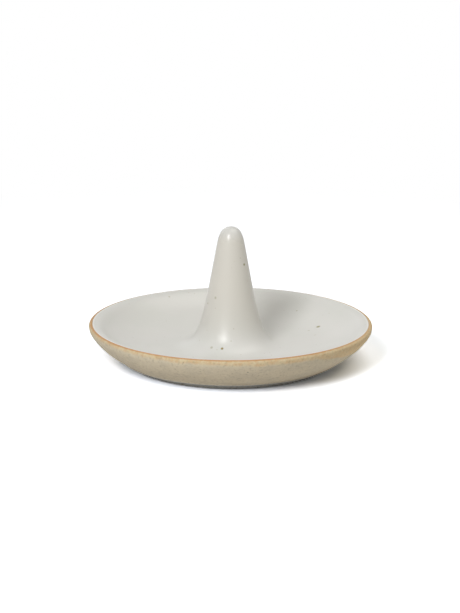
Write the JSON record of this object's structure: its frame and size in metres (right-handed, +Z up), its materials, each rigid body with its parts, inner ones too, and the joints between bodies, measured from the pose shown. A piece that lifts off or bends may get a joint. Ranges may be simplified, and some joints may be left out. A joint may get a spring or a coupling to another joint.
{
  "type": "ring cone",
  "caption": "Stoneware ring cone: a shallow dish with a bare clay rim and a tall slim cone in its middle that holds finger rings, under a satin speckled off-white glaze.",
  "frame": {"origin": "centre of the foot, on the surface that the dish stands on", "axes": "+Z up along the cone; the object is turned about Z, so X and Y are free and +X points to the viewer's right in the front view"},
  "size_m": [0.11, 0.11, 0.0534],
  "materials": {
    "raw_clay": "bare fired stoneware, matte, finely speckled",
    "cast_clay": "bare fired stoneware, matte",
    "dried_slip": "fired slip, matte",
    "satin_glaze": "satin off-white glaze with iron specks"
  },
  "bodies": {
    "root": {"dish": "raw_clay", "cone": "cast_clay", "luting_slip": "dried_slip", "glaze_coat": "satin_glaze"}
  },
  "joints": []
}
